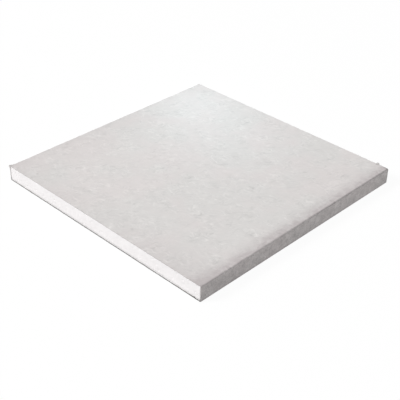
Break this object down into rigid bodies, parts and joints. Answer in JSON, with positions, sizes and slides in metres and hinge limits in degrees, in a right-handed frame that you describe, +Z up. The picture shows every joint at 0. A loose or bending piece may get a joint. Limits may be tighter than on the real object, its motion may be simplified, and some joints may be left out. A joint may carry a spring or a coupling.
{
  "type": "drywall sheet",
  "caption": "Square drywall sheet lying face up: white gypsum core, light face paper wrapped round its bound edges, darker back paper; lines walls and ceilings.",
  "frame": {"origin": "centre of the back of the sheet, on the surface it lies on", "axes": "+Z up out of the face, X across the sheet from one paper-bound edge to the other, Y along the sheet between its two cut ends"},
  "size_m": [0.2032, 0.2032, 0.0127],
  "materials": {
    "gypsum": "matt white set gypsum, sawn, with fine air pores",
    "face_paper": "light warm grey paper, matt with a slight sheen, finely fibrous",
    "back_paper": "darker grey recycled paper, matt and flecked"
  },
  "bodies": {
    "root": {"gypsum_core": "gypsum", "face_paper": "face_paper", "back_paper": "back_paper"}
  },
  "joints": []
}
